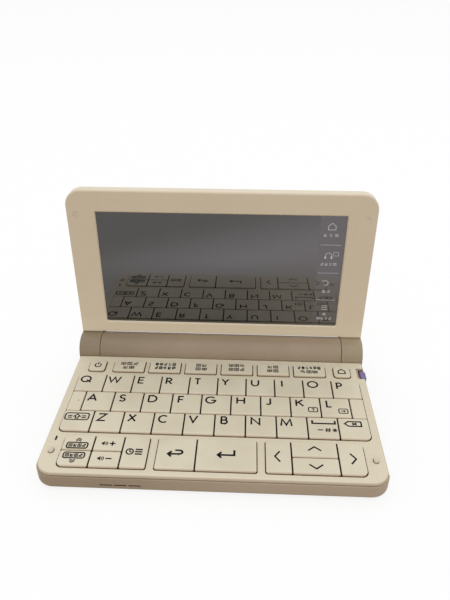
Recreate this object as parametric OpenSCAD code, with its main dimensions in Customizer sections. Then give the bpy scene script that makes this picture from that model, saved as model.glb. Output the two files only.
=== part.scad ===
// Pocket electronic dictionary: a keyboard base and a display lid, joined at a round hinge barrel.
// Origin on the table under the middle of the open object. +X right, +Y towards the hinge, +Z up.

/* [Base] */
// Width over the widest part of the lower case
body_w = 148; // [147:0.5:151]
// Depth from the front edge to the back of the hinge barrel
body_d = 96; // [95.5:0.5:100]
// Height of the keyboard face above the table
deck_z = 9.7; // [9.6:0.1:9.9]
// Height of the parting line between the two base shells
seam_z = 7.9; // [7.8:0.1:8.1]
// Height that the rubber feet hold the case above the table
foot_h = 0.6; // [0.4:0.1:0.8]
// Radius of the front corners seen from above
corner_r = 8; // [6:0.5:10]
// Radius of the rounded bottom edge
bottom_r = 2; // [1.8:0.1:2.6]
// Wall thickness of the lower case
wall = 1.5; // [1.2:0.1:1.6]
// Floor thickness of the lower case
floor_t = 1.5; // [1.3:0.1:1.7]
// Step from the side of the lower case in to the side of the upper case
deck_inset = 0.6; // [0.4:0.1:0.8]
// Radius of the upper case's top edge
deck_edge_r = 1.2; // [0.6:0.1:1.2]
// Height of the shadow groove at the parting line
groove_h = 0.35; // [0.2:0.05:0.4]
// Depth of the shadow groove at the parting line
groove_d = 0.5; // [0.3:0.1:0.6]

/* [Hinge] */
// Distance of the hinge axis behind the origin
hinge_y = 38.7; // [38:0.1:40]
// Height of the hinge axis above the table
hinge_z = 9.1; // [9.1:0.1:9.4]
// Diameter of the hinge barrel
barrel_d = 17.3; // [17.1:0.1:17.9]
// Length of each end knuckle along the axis
knuckle_w = 11; // [9:0.5:12]
// Seam between the barrel and each knuckle
knuckle_gap = 0.3; // [0.2:0.1:0.5]
// Diameter of the journal that each knuckle turns on
journal_d = 6; // [5:0.5:8]
// Length of each journal
journal_l = 4.6; // [3:0.2:6]

/* [Lid] */
// Angle between the lid and the keyboard, 0 when closed
lid_open = 92; // [60:1:120]
// Distance of the closed lid's free edge behind the front edge of the base
lid_setback = 0.15; // [0:0.05:1]
// Thickness of the lid
lid_t = 6.4; // [5.6:0.1:6.7]
// Height of the lid's inner face above the hinge axis when closed
lid_rise = 1.9; // [1.9:0.1:2.3]
// Distance of the lid's side from the side of the base
lid_inset = 0.2; // [0:0.1:0.6]
// Radius of the lid's free corners
lid_corner_r = 8; // [6:0.5:10]
// Radius of the lid's outer edge
lid_edge_r = 1.5; // [1.2:0.1:2.2]
// Gap between the hinge barrel and the lower edge of the lid
lid_gap = 0.4; // [0.4:0.05:0.8]
// Thickness of the bezel's face
bezel_t = 0.9; // [0.8:0.1:1.1]
// Radius of the bezel's edge
bezel_edge_r = 0.8; // [0.5:0.1:0.8]
// Wall thickness of the lid cover
lid_wall = 1.4; // [1.2:0.1:1.8]
// Back thickness of the lid cover
lid_back_t = 1; // [0.8:0.1:1.1]

/* [Display] */
// Bezel at each side of the screen opening
screen_side = 13.9; // [13.3:0.1:17]
// Distance from the hinge axis to the lower edge of the screen opening
screen_v0 = 15.5; // [15:0.1:20]
// Bezel above the screen opening
screen_top = 10.7; // [10.3:0.1:16]
// Chamfer round the screen opening
screen_bevel = 0.5; // [0.2:0.1:0.6]
// How far the glass reaches under the bezel
glass_lap = 1.2; // [0.8:0.1:1.6]
// Thickness of the touch glass
glass_t = 1.1; // [0.7:0.1:1.2]
// Thickness of the display panel behind the glass
panel_t = 1.8; // [1.2:0.1:1.9]

/* [Keys] */
// Margin between the block of letter keys and each side of the base
letters_side = 4.5; // [4.3:0.1:8]
// Height of the key tops above the keyboard face
key_rise = 0.8; // [0.5:0.1:0.9]
// Travel of a key
key_travel = 0.8; // [0.5:0.1:0.9]
// Seam between two keys, side by side and one behind the other
key_gap = [0.6, 0.4]; // [0.3:0.05:0.7]
// Seam between a key and the edge of its window, added to half a key seam
window_clear = 0.1; // [0.05:0.05:0.3]
// Height of the key cap
cap_h = 2.5; // [2:0.1:2.8]
// Small corner radius of a key
key_r = 0.6; // [0.5:0.1:1]
// Radius of a group of keys at the corners that face outwards
group_r = 2.8; // [1.5:0.1:3.5]
// Radius of a group of keys at the corners that face another group
group_inner_r = 1; // [0.6:0.1:2]
// Corner radius of the power and home keys
end_key_r = 1.9; // [1:0.1:3]
// Radius of the outermost corners of the row of wide keys
top_outer_r = 1.4; // [0.6:0.1:3]
// Radius of the key's top edge
key_edge_r = 0.35; // [0.2:0.05:0.5]
// Depth and drop of the slope along a key's front edge
key_slope = [1.2, 0.3]; // [0.2:0.05:1.4]
// Width of the blank tile at each end of the middle letter row, as a share of a letter key
tile_share = 0.49; // [0.43:0.01:0.5]
// Margin from the front edge to the lowest row of keys
front_margin = 3.4; // [3.2:0.1:4]
// Margin from the top row of keys to the rear edge of the keyboard face
rear_margin = 3.75; // [3.6:0.05:4.2]
// Depth of the lowest row of keys
nav_d = 18; // [17:0.2:18.4]
// Rib between the lowest row and the letters
nav_rib = 2.1; // [1.6:0.1:2.4]
// Rib between the letters and the top row
top_rib = 2.2; // [1.6:0.1:2.6]
// Depth of the top row of keys
top_d = 9; // [8:0.1:9.3]
// Width of each wide key in the top row, in letter keys
top_key_units = 1.173; // [1.08:0.001:1.2]
// Spacing of the wide keys in the top row, in letter keys
top_pitch_units = 1.317; // [1.3:0.001:1.335]
// Width of the small key at each end of the top row, in letter keys
end_key_units = 0.626; // [0.58:0.001:0.64]
// Distance of each small end key from the middle, in letter keys
end_place_units = 4.46; // [4.44:0.001:4.48]
// Left edges of the three groups in the lowest row, in letter keys from the middle
group_x_units = [-4.676, -1.719, 1.612]; // [-4.7:0.001:1.64]
// Widths of the keys in the left group, in letter keys
left_units = [0.978, 0.928, 0.813]; // [0.75:0.001:1]
// Widths of the keys in the middle group, in letter keys
mid_units = [1.223, 1.871]; // [1.1:0.001:1.95]
// Widths of the keys in the arrow group, in letter keys
arrow_units = [0.806, 1.424, 0.813]; // [0.75:0.001:1.47]

/* [Inside] */
// Diameter of one battery cell
cell_d = 14.2; // [13.8:0.1:14.4]
// Diameter of the battery bay
bay_d = 15; // [14.8:0.1:15.2]
// Distance from each end of the barrel to the battery bay
bay_end = 9; // [8.8:0.1:9.6]
// Distance from each end of the battery bay to the battery door
door_end = 1.7; // [1.2:0.1:3]
// Lower end of the battery door, in degrees below the rear
door_low = 85; // [84:0.5:87]
// Upper end of the battery door, in degrees above the rear
door_high = 60; // [59:0.5:64]
// Seam round the battery door
door_gap = 0.15; // [0.1:0.05:0.25]
// Height of the circuit board's underside
board_z = 3.6; // [3.4:0.1:3.8]
// Thickness of the circuit board
board_t = 1; // [0.8:0.1:1.2]
// Thickness of the rubber key mat
mat_t = 0.5; // [0.3:0.1:0.6]
// Diameter of the screw posts
post_d = 3; // [2.6:0.1:3.1]
// Distance of the two front screw posts from the front edge and from the sides
post_inset = 6.9; // [6.5:0.1:7.1]

/* [Stylus] */
// Diameter of the stylus
stylus_d = 3; // [2.6:0.1:3.1]
// Distance of the stylus axis from the side of the base
stylus_inset = 2.05; // [1.9:0.05:2.1]
// Depth of the finger scoop beside the head of the stylus
scoop_depth = 1; // [0.6:0.1:1.1]
// Height of the stylus above the table
stylus_z = 6.7; // [6.6:0.1:6.8]
// Distance from the hinge barrel to the rear end of the stylus
stylus_back = 5.45; // [5:0.05:6]
// Length of the stylus
stylus_l = 66; // [55:0.5:67]
// Length of the thick head of the stylus
head_l = 6.4; // [5:0.1:7]
// How far the head stands out of the side of the base
head_out = 0.4; // [0:0.1:0.5]

/* [Fittings] */
// Size of the rubber lid stops, across and along
stop_size = [2.2, 2.8]; // [2:0.1:3.2]
// Distance of each lid stop from the side of the base
stop_inset = 5; // [4.6:0.1:5.6]
// Distance of each lid stop behind the front edge
stop_back = 12.45; // [11:0.05:14]
// Diameter of the rubber feet
foot_d = 8; // [6:0.5:9]
// Distance of the rubber feet from the sides of the base
foot_inset = 25; // [24:0.5:27]
// Lengths of the speaker slots in the front wall, and their height
slot_size = [5.3, 0.6]; // [0.4:0.1:6]
// Spacing of the speaker slots
slot_pitch = 6; // [5.8:0.1:6.5]
// Middle of the speaker slots
slot_x = -37.4; // [-40:0.1:-35]
// Height of the speaker slots above the table
slot_z = 3.9; // [3.8:0.1:4.2]
// Size of the speaker, across, along and high
speaker_size = [18, 7, 2.4]; // [2:0.1:20]
// Diameter of the headphone plug's hole
jack_d = 3.6; // [3.5:0.05:3.8]
// Length of the headphone socket inside the case
jack_l = 9.4; // [7:0.1:9.6]
// Height of both sockets' middle above the table
jack_z = 4.8; // [4.7:0.1:4.9]
// Width and height of the data socket's mouth
port_size = [7, 1.8]; // [1.6:0.1:7.4]

/* [Hidden] */
$fn = 48;
bit = 0.01;

barrel_r = barrel_d / 2;
front_y = hinge_y + barrel_r - body_d;
barrel_half = body_w / 2 - knuckle_w - knuckle_gap;
bay_l = 2 * (barrel_half - bay_end);
door_l = bay_l - 2 * door_end;
running_gap = 0.35;
case_z = foot_h;
tray_end = hinge_y - 5.5;
tray_mid_end = hinge_y - 3.3;
lid_start = barrel_r + lid_gap;
lid_len = hinge_y - front_y - lid_setback;
lid_w = body_w - 2 * lid_inset;
screen_w = lid_w - 2 * screen_side;
screen_v1 = lid_len - screen_top;
floor_z = case_z + floor_t;
deck_w = body_w - 2 * deck_inset;
deck_front = front_y + deck_inset / 2;
deck_rear = hinge_y - barrel_r - running_gap;
face_z = deck_z + key_rise;
cap_z = face_z - cap_h;
plunger_h = 0.8;
dome_top = cap_z - plunger_h - key_travel - 0.1;
mat_z = board_z + board_t;

// Rows of keys, from the front: the letter rows fill the depth that the others leave
nav_y = front_y + front_margin;
letters_y = nav_y + nav_d + nav_rib;
top_y = deck_rear - rear_margin - top_d;
letter_d = (top_y - top_rib - letters_y) / 3;

// Columns of keys, all in step with the width of a letter key
letters_w = body_w - 2 * letters_side;
letter_w = letters_w / 10;
tile_w = tile_share * letter_w;
top_key_w = top_key_units * letter_w;
top_pitch = top_pitch_units * letter_w;
end_key_w = end_key_units * letter_w;
end_key_x = end_place_units * letter_w;

// Inside faces of the lower case
inner_left = -body_w / 2 + wall;
inner_front = front_y + wall;
back_wall_r = barrel_r + running_gap + 1.2;

// Stylus bay
stylus_x = body_w / 2 - stylus_inset;
stylus_y1 = hinge_y - barrel_r - stylus_back;
bay_x = stylus_x - stylus_d / 2 - 0.15;
bay_z = stylus_z - stylus_d / 2 - 0.2;
bay_y0 = stylus_y1 - stylus_l - 0.3;
notch_y0 = stylus_y1 - head_l - 0.8;
notch_y1 = stylus_y1 + 0.8;
inner_right = bay_x - 1.3;

// Lid stops
stop_x = body_w / 2 - stop_inset;
stop_y = -front_y - stop_back;

// Cells run from the spring at the left to the plate at the right
spring_l = 4;
contact_t = 0.4;
cell_x0 = -bay_l / 2 + contact_t + spring_l;
plate_post_l = 1.4;
cell_x1 = bay_l / 2 - contact_t - plate_post_l;
cell_pitch = (cell_x1 - cell_x0) / 2;
cell_l = cell_pitch - 0.1;

// Sockets in the left side, beside the two front letter rows
jack_x = inner_left + 1.5;
jack_y = letters_y + 1.5 * letter_d;
port_y = letters_y + 0.5 * letter_d;
port_z = board_z + board_t + port_size[1] / 2 + 0.35;

cream = "#d8cbae";
brown = "#93806b";
rubber = "#cdbfae";
charcoal = "#3c3b42";
green = "#2f6b46";
steel = "#b9bcc0";
violet = "#8d80ad";

// Places of the screw posts that join the two base shells
left_rib_x = letter_w * (group_x_units[0] + sum_to(left_units, 3) + group_x_units[1]) / 2;
right_rib_x = letter_w * (group_x_units[1] + sum_to(mid_units, 2) + group_x_units[2]) / 2;
back_post_x = (end_key_x - end_key_w / 2 + 2.5 * top_pitch + top_key_w / 2) / 2;
post_places = concat(
    [for (s = [-1, 1]) [s * (body_w / 2 - post_inset), front_y + post_inset]],
    [for (x = [left_rib_x, right_rib_x]) [x, nav_y + nav_d / 2]],
    [for (s = [-1, 1]) [s * back_post_x, top_y + top_d / 2 + 2]]
);
foot_places = [for (s = [-1, 1], y = [front_y + 14, hinge_y - 18.5]) [s * (body_w / 2 - foot_inset), y]];

// A key is [name, [x0, x1, y0, y1], radii of its front left, front right, back right and back left corners]
function all_r(r) = [r, r, r, r];
function sum_to(v, n) = n < 1 ? 0 : v[n - 1] + sum_to(v, n - 1);
function cell(x, w, y, d) = [x, x + w, y, y + d];

// Radii of a key's corners: those of its window w where the key reaches that corner
function key_corners(w, left, right, front, back) = [
    left && front ? w[0] : key_r, right && front ? w[1] : key_r,
    right && back ? w[2] : key_r, left && back ? w[3] : key_r
];

function list_key(i) = [
    str("list_", i + 1), cell((i - 2.5) * top_pitch - top_key_w / 2, top_key_w, top_y, top_d),
    [i == 0 ? top_outer_r : key_r, i == 5 ? top_outer_r : key_r,
     i == 5 ? top_outer_r : key_r, i == 0 ? top_outer_r : key_r]
];
function end_key(name, s) = [
    name, cell(s * end_key_x - end_key_w / 2, end_key_w, top_y, top_d), all_r(end_key_r)
];
top_keys = concat([end_key("power", -1)], [for (i = [0:5]) list_key(i)], [end_key("home", 1)]);

function letter_key(name, i, row) = [
    name, cell(-letters_w / 2 + i * letter_w, letter_w, letters_y + row * letter_d, letter_d),
    key_corners(all_r(group_r), i == 0, i == 9, row == 0, row == 2)
];
low_names = ["shift", "z", "x", "c", "v", "b", "n", "m", "space", "delete"];
mid_pitch = (letters_w - 2 * tile_w) / 9;
letter_keys = concat(
    [for (i = [0:9]) letter_key("qwertyuiop"[i], i, 2)],
    [for (i = [0:8])
        ["asdfghjkl"[i],
         cell(-letters_w / 2 + tile_w + i * mid_pitch, mid_pitch, letters_y + letter_d, letter_d),
         all_r(key_r)]],
    [for (i = [0:9]) letter_key(low_names[i], i, 0)]
);

// Groups of the lowest row: left edge, widths of the columns and corner radii
function group(i, units, radii) = [letter_w * group_x_units[i], letter_w * units, radii];
left_group = group(0, left_units, [group_r, group_inner_r, group_inner_r, group_r]);
mid_group = group(1, mid_units, all_r(group_inner_r));
arrow_group = group(2, arrow_units, [group_inner_r, group_r, group_r, group_inner_r]);

// One key in column i of a group: half is 0 for a tall key, 1 for the front and 2 for the back half
function nav_key(name, group, i, half) = [
    name,
    cell(group[0] + sum_to(group[1], i), group[1][i],
         nav_y + (half == 2 ? nav_d / 2 : 0), half == 0 ? nav_d : nav_d / 2),
    key_corners(group[2], i == 0, i == len(group[1]) - 1, half < 2, half != 1)
];
nav_keys = [
    nav_key("page_up", left_group, 0, 2),
    nav_key("page_down", left_group, 0, 1),
    nav_key("volume_up", left_group, 1, 2),
    nav_key("volume_down", left_group, 1, 1),
    nav_key("history", left_group, 2, 0),
    nav_key("back", mid_group, 0, 0),
    nav_key("enter", mid_group, 1, 0),
    nav_key("left", arrow_group, 0, 0),
    nav_key("up", arrow_group, 1, 2),
    nav_key("down", arrow_group, 1, 1),
    nav_key("right", arrow_group, 2, 0)
];
keys = concat(top_keys, letter_keys, nav_keys);
function key_node(k) = str("key_", k[0]);

// Windows of the keyboard face, each with its corner radii
windows = concat(
    [for (k = top_keys) [k[1], k[2]]],
    [[[-letters_w / 2, letters_w / 2, letters_y, letters_y + 3 * letter_d], all_r(group_r)]],
    [for (g = [left_group, mid_group, arrow_group]) [cell(g[0], sum_to(g[1], len(g[1])), nav_y, nav_d), g[2]]]
);

// Outline of a slab's edge: w wide and h high, its outer side rounded by et above and eb below
module rim(w, h, et, eb) {
    translate([0, eb]) square([w, h - et - eb]);
    if (et > 0) {
        translate([0, h - et - bit]) square([w - et, et + bit]);
        translate([w - et, h - et]) quarter_disc(et);
    }
    if (eb > 0) {
        square([w - eb, eb + bit]);
        translate([w - eb, eb]) mirror([0, 1]) quarter_disc(eb);
    }
}

// Quarter of a disc, right of and above its centre
module quarter_disc(r) {
    intersection() {
        circle(r = r);
        translate([-bit, -bit]) square(r + 1);
    }
}

// Both edges of a slab w wide
module bar(w, h, et, eb) {
    translate([w / 2, 0]) {
        rim(w / 2, h, et, eb);
        mirror([1, 0]) rim(w / 2, h, et, eb);
    }
}

// Corner of a slab in the square from 0 to c, its outer corner rounded to radius r
module slab_corner(c, r, h, et, eb) {
    translate([c - r, c - r, 0]) rotate_extrude(angle = 90) rim(r, h, et, eb);
    if (c - r > bit) {
        translate([0, c - r, 0]) rotate([90, 0, 0]) linear_extrude(c - r) rim(c, h, et, eb);
        mirror([1, -1, 0]) translate([0, c - r, 0])
            rotate([90, 0, 0]) linear_extrude(c - r) rim(c, h, et, eb);
    }
}

// Rectangle in plan [x0, x1, y0, y1], h high, with four corner radii, rounded by et above and eb below
module slab(plan, h, radii, et = 0, eb = 0) {
    c = max(radii);
    w = plan[1] - plan[0];
    d = plan[3] - plan[2];
    translate([plan[0], plan[2], 0]) {
        translate([c, 0, 0]) rotate([90, 0, 90]) linear_extrude(w - 2 * c) bar(d, h, et, eb);
        translate([0, d - c, 0]) rotate([90, 0, 0]) linear_extrude(d - 2 * c) bar(w, h, et, eb);
        for (i = [0:3])
            translate([i == 1 || i == 2 ? w - c : c, i > 1 ? d - c : c, 0])
                mirror([i == 0 || i == 3 ? 1 : 0, 0, 0]) mirror([0, i < 2 ? 1 : 0, 0])
                    slab_corner(c, radii[i], h, et, eb);
    }
}

// Round bar along X
module x_bar(x0, x1, d) {
    translate([x0, 0, 0]) rotate([0, 90, 0]) cylinder(h = x1 - x0, d = d);
}

// Moves a piece from the hinge axis to its place in the base
module at_hinge() {
    translate([0, hinge_y, hinge_z]) children();
}

// Opens a lid piece that is drawn closed, with the hinge axis as its origin
module on_lid() {
    at_hinge() rotate([-lid_open, 0, 0]) children();
}

// Wedge of the barrel between two angles above the rear, moved out by a gap
module door_wedge(x0, x1, gap) {
    reach = barrel_d;
    middle = (door_high - door_low) / 2;
    half = (door_high + door_low) / 2;
    shift = gap / sin(half);
    rotate([middle, 0, 0]) translate([x0, shift, 0]) rotate([90, 0, 90]) linear_extrude(x1 - x0)
        polygon([
            [0, 0],
            [reach * cos(half), reach * sin(half)], [reach, reach * sin(half)],
            [reach, -reach * sin(half)], [reach * cos(half), -reach * sin(half)]
        ]);
}

module tray() {
    outer = [-body_w / 2, body_w / 2, front_y, hinge_y + barrel_d];
    relief = letters_w / 2 + window_clear + 0.05;
    difference() {
        translate([0, 0, case_z]) slab(outer, seam_z - case_z, all_r(corner_r), 0.5, bottom_r);
        translate([0, 0, floor_z])
            slab([inner_left, inner_right, inner_front, hinge_y + barrel_r], deck_z,
                 all_r(corner_r - wall), 0, bottom_r - wall);
        translate([inner_right - 10, letters_y - 1, cap_z - key_travel - 0.3])
            cube([relief - inner_right + 10, top_y - letters_y + top_d + 2, deck_z]);
    }
}

module lower_case() {
    post_top = board_z;
    color(brown) difference() {
        union() {
            difference() {
                union() {
                    intersection() {
                        union() {
                            tray();
                            // Wall in front of the hinge barrel
                            translate([0, 0, case_z]) intersection() {
                                translate([-body_w / 2 + wall / 2, hinge_y - barrel_d, bottom_r / 2])
                                    cube([body_w - wall, barrel_d, seam_z - case_z - bottom_r / 2]);
                                translate([0, hinge_y, hinge_z - case_z])
                                    x_bar(-body_w / 2, body_w / 2, 2 * back_wall_r);
                            }
                        }
                        union() {
                            translate([-body_w, front_y - 1, -1])
                                cube([2 * body_w, tray_end - front_y + 1, deck_z]);
                            translate([-barrel_half, front_y - 1, -1])
                                cube([2 * barrel_half, tray_mid_end - front_y + 1, deck_z]);
                        }
                    }
                }
                // Room for the turning knuckles
                for (s = [0, 1]) mirror([s, 0, 0]) at_hinge()
                    x_bar(barrel_half, body_w, barrel_d + 2 * running_gap);
            }
            at_hinge() x_bar(-barrel_half, barrel_half, barrel_d);
            for (p = post_places) translate([p[0], p[1], floor_z - bit])
                cylinder(h = post_top - floor_z + bit, d = post_d + 1.4);
        }
        // Battery bay, door opening and journal bores
        at_hinge() {
            x_bar(-bay_l / 2, bay_l / 2, bay_d);
            door_wedge(-door_l / 2 - door_gap, door_l / 2 + door_gap, 0);
            for (s = [0, 1]) mirror([s, 0, 0])
                x_bar(barrel_half - journal_l - 0.2, body_w, journal_d + 0.1);
        }
        stylus_bay();
        for (i = [-1:1])
            translate([slot_x + i * slot_pitch - slot_size[0] / 2, front_y - 1, slot_z - slot_size[1] / 2])
                cube([slot_size[0], wall + 2, slot_size[1]]);
        for (p = post_places) translate([p[0], p[1], 0]) cylinder(h = case_z + 1.6, d = 4);
        for (p = foot_places) translate([p[0], p[1], 0]) cylinder(h = case_z + 0.5, d = foot_d + 0.3);
        // Holes for the sockets in the left side
        translate([0, jack_y, jack_z]) x_bar(-body_w, inner_left + 1.9, jack_d + 1.8);
        translate([-body_w, port_y - port_size[0] / 2 - 0.6, port_z - port_size[1] / 2 - 0.6])
            cube([body_w / 2 + wall + 1, port_size[0] + 1.2, port_size[1] + 1.2]);
    }
}

// Side channel that holds the stylus
module stylus_bay() {
    translate([bay_x, bay_y0, bay_z]) cube([body_w, notch_y1 - bay_y0, deck_z]);
}

// Blank tiles that fill the ends of the middle letter row
module tiles() {
    y = letters_y + letter_d;
    g = key_gap / 2;
    edge = letters_w / 2;
    for (s = [0, 1]) mirror([s, 0, 0]) {
        translate([0, 0, seam_z])
            slab([edge - tile_w + g[0], edge - g[0], y + g[1], y + letter_d - g[1]], face_z - seam_z,
                 all_r(key_r), key_edge_r);
        translate([edge - tile_w / 2, y + 2 * g[1], seam_z])
            cube([tile_w / 2 + 0.7, letter_d - 4 * g[1], 0.5]);
    }
}

// Outline of the upper case, set in by g and h high
module deck_slab(g, h, edge) {
    slab([-deck_w / 2 + g, deck_w / 2 - g, deck_front + g, hinge_y], h,
         all_r(corner_r - deck_inset - g), edge);
}

module upper_case() {
    color(cream) difference() {
        union() {
            difference() {
                translate([0, 0, seam_z]) intersection() {
                    union() {
                        translate([0, 0, groove_h]) deck_slab(0, deck_z - seam_z - groove_h, deck_edge_r);
                        deck_slab(groove_d, groove_h + bit, 0);
                    }
                    translate([-body_w, front_y - 1, -1]) cube([2 * body_w, deck_rear - front_y + 1, deck_z]);
                }
                for (w = windows) {
                    c = window_clear;
                    p = w[0];
                    translate([0, 0, seam_z - 1])
                        slab([p[0] - c, p[1] + c, p[2] - c, p[3] + c], 4, [for (r = w[1]) r + c]);
                }
                stylus_notch();
                translate([bay_x, bay_y0, 0])
                    cube([body_w, notch_y1 - bay_y0, stylus_z + stylus_d / 2 + 0.2]);
                // Seats of the lid stops and the microphone slot
                for (s = [-1, 1]) translate([s * stop_x, -stop_y, deck_z - 0.6]) lid_stop(0.2, 2);
                translate([-stop_x, -stop_y + 7.4, seam_z - 1])
                    slab([-0.45, 0.45, -1.4, 1.4], 4, all_r(0.43));
            }
            tiles();
            // Tongues that locate the deck inside the lower case
            translate([-body_w / 2 + wall + 0.1, letters_y, seam_z - 0.5])
                cube([0.7, 3 * letter_d, 0.5 + bit]);
            translate([-letters_w / 2 + 5, inner_front + 0.1, seam_z - 0.5])
                cube([letters_w - 14, 0.8, 0.5 + bit]);
            for (p = post_places) translate([p[0], p[1], board_z + 0.05])
                cylinder(h = seam_z - board_z, d = post_d);
        }
    }
}

// Finger notch at the head of the stylus: a clear cut over the head and a shallow scoop in front of it
module stylus_notch() {
    scoop_r = 22;
    scoop_y = notch_y1 - 2;
    translate([bay_x + 0.3, notch_y0, seam_z - 1]) cube([body_w, notch_y1 - notch_y0, deck_z]);
    intersection() {
        translate([0, scoop_y, deck_z + scoop_r - scoop_depth]) x_bar(bay_x - 0.7, body_w, 2 * scoop_r);
        translate([0, front_y, 0]) cube([body_w, notch_y1 - front_y, 2 * deck_z]);
    }
}

// Rounded pad of the lid stops, g larger on every side and h high
module lid_stop(g, h, edge = 0) {
    w = stop_size[0] / 2 + g;
    d = stop_size[1] / 2 + g;
    slab([-w, w, -d, d], h, all_r(min(w, d) - 0.02), edge);
}

module battery_cover() {
    grip_n = 5;
    color(brown) at_hinge() difference() {
        intersection() {
            x_bar(-door_l / 2, door_l / 2, barrel_d);
            door_wedge(-door_l / 2, door_l / 2, door_gap);
        }
        x_bar(-body_w, body_w, bay_d + 0.2);
        // Grip lines at the thumb place
        for (i = [0:grip_n - 1]) rotate([-20 - 6 * i, 0, 0])
            translate([-9, barrel_r - 0.25, -0.25]) cube([18, 1, 0.5]);
    }
}

module batteries() {
    button_h = 1.2;
    can_l = cell_l - button_h;
    color(steel) at_hinge() for (i = [0, 1]) translate([cell_x0 + i * cell_pitch, 0, 0]) rotate([0, 90, 0])
        rotate_extrude() {
            translate([0, 0.6]) square([cell_d / 2, can_l - 1.2]);
            square([cell_d / 2 - 0.6, can_l]);
            translate([cell_d / 2 - 0.6, 0.6]) intersection() {
                circle(r = 0.6);
                translate([-0.6, -1]) square([2, 1]);
            }
            translate([cell_d / 2 - 0.6, can_l - 0.6]) intersection() {
                circle(r = 0.6);
                translate([-0.6, 0]) square([2, 1]);
            }
            square([2.7, cell_l]);
        }
}

// Body of the headphone socket, g larger on every side
module jack_room(g) {
    translate([jack_x - g, jack_y - 2.9 - g, jack_z - 2.3])
        cube([inner_left + jack_l - jack_x + 2 * g, 5.8 + 2 * g, 4.5]);
}

// Headphone socket and data socket at the left edge of the board
module sockets() {
    nose_x = -body_w / 2 + 0.8;
    shell_t = 0.35;
    difference() {
        union() {
            jack_room(0);
            translate([0, jack_y, jack_z]) x_bar(nose_x, jack_x + bit, jack_d + 1.4);
        }
        translate([0, jack_y, jack_z]) x_bar(nose_x - 1, inner_left + jack_l - 1, jack_d);
    }
    translate([nose_x, port_y, port_z]) {
        difference() {
            translate([0, -port_size[0] / 2 - shell_t, -port_size[1] / 2 - shell_t])
                cube([5.4, port_size[0] + 2 * shell_t, port_size[1] + 2 * shell_t]);
            translate([-1, -port_size[0] / 2, -port_size[1] / 2]) cube([5.6, port_size[0], port_size[1]]);
        }
        translate([1, -port_size[0] / 2 + 1.5, -0.1]) cube([4, port_size[0] - 3, 0.5]);
    }
}

module main_board() {
    plan = [inner_left + 1, inner_right - 0.6, inner_front + 0.6, deck_rear - 2.2];
    speaker_y = inner_front + bottom_r - wall + 0.1;
    speaker = cell(slot_x - speaker_size[0] / 2, speaker_size[0], speaker_y, speaker_size[1]);
    color(green) {
        difference() {
            translate([0, 0, board_z]) slab(plan, board_t, all_r(corner_r - wall - 1));
            for (p = post_places) translate([p[0], p[1], 0]) cylinder(h = deck_z, d = post_d + 0.5);
            translate([speaker[0] - 0.5, front_y, 0])
                cube([speaker_size[0] + 1, speaker[3] - front_y + 0.5, deck_z]);
            jack_room(0.1);
            translate([inner_left, jack_y - 3, board_z - 1]) cube([2, 6, board_t + 2]);
        }
        // Processor, memory and driver under the board
        translate([0, jack_y, 0]) {
            translate([-8, 0, board_z - 1.1]) cube([16, 16, 1.1]);
            translate([-2.9 * letter_w, -3, board_z - 0.9]) cube([12, 18, 0.9]);
            translate([2.2 * letter_w, 1, board_z - 0.9]) cube([14, 10, 0.9]);
        }
        // Speaker behind the slots
        translate([0, 0, floor_z]) slab(speaker, speaker_size[2], all_r(3));
        sockets();
        // Battery spring and end plates
        at_hinge() {
            x_bar(-bay_l / 2, -bay_l / 2 + contact_t, 12);
            translate([-bay_l / 2 + contact_t, 0, 0]) rotate([0, 90, 0])
                cylinder(h = spring_l, d1 = 9, d2 = 5);
            x_bar(bay_l / 2 - contact_t, bay_l / 2, 12);
            x_bar(cell_x1, bay_l / 2 - contact_t + bit, 5);
        }
    }
}

module key_mat() {
    plan = [inner_left + 1.4, inner_right - 0.8, inner_front + 1, deck_rear - 2.4];
    color(rubber) difference() {
        union() {
            translate([0, 0, mat_z]) slab(plan, mat_t, all_r(corner_r - wall - 2));
            for (k = keys) translate([(k[1][0] + k[1][1]) / 2, (k[1][2] + k[1][3]) / 2, mat_z])
                cylinder(h = dome_top - mat_z, d1 = 6, d2 = 4);
        }
        for (p = post_places) translate([p[0], p[1], 0]) cylinder(h = deck_z, d = post_d + 0.5);
        jack_room(0.3);
        translate([-body_w / 2, port_y - port_size[0] / 2 - 0.8, board_z]) cube([7, port_size[0] + 1.6, 10]);
    }
}

module stylus() {
    tip_l = 5;
    neck = 0.9;
    r = stylus_d / 2;
    shaft_l = stylus_l - head_l;
    head = [stylus_x - r + 0.65, body_w / 2 + head_out, stylus_y1 - head_l, stylus_y1];
    color(violet) {
        translate([stylus_x, stylus_y1 - head_l + 0.5, stylus_z]) rotate([90, 0, 0]) {
            cylinder(h = shaft_l + 0.5 - tip_l, r = r);
            translate([0, 0, shaft_l + 0.5 - tip_l]) cylinder(h = tip_l - neck, r1 = r, r2 = 0.6);
            translate([0, 0, shaft_l + 0.5 - neck]) {
                translate([0, 0, -bit]) cylinder(h = 0.4, r = 0.6);
                translate([0, 0, 0.3]) sphere(r = 0.6);
            }
        }
        translate([0, 0, stylus_z - r]) slab(head, stylus_d + 0.7, all_r(1.5), 0.8, 0.6);
    }
}

module rubber_pads() {
    color(rubber) {
        for (p = foot_places) translate([p[0], p[1], 0])
            rotate_extrude() rim(foot_d / 2, foot_h + 0.5, 0, 0.2);
        for (s = [-1, 1]) translate([s * stop_x, -stop_y, deck_z - 0.6])
            lid_stop(0, hinge_z + lid_rise + 0.1 - deck_z + 0.6, 0.6);
    }
}

// Full outline of the closed lid, hinge axis as origin
module lid_body() {
    translate([0, 0, lid_rise])
        slab([-lid_w / 2, lid_w / 2, -lid_len, barrel_d], lid_t, all_r(lid_corner_r),
             lid_edge_r, bezel_edge_r);
}

// Everything nearer the hinge than v, or beyond it
module lid_cut(v) {
    translate([-body_w, -v, -body_d / 2]) cube([2 * body_w, body_d, body_d]);
}

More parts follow.
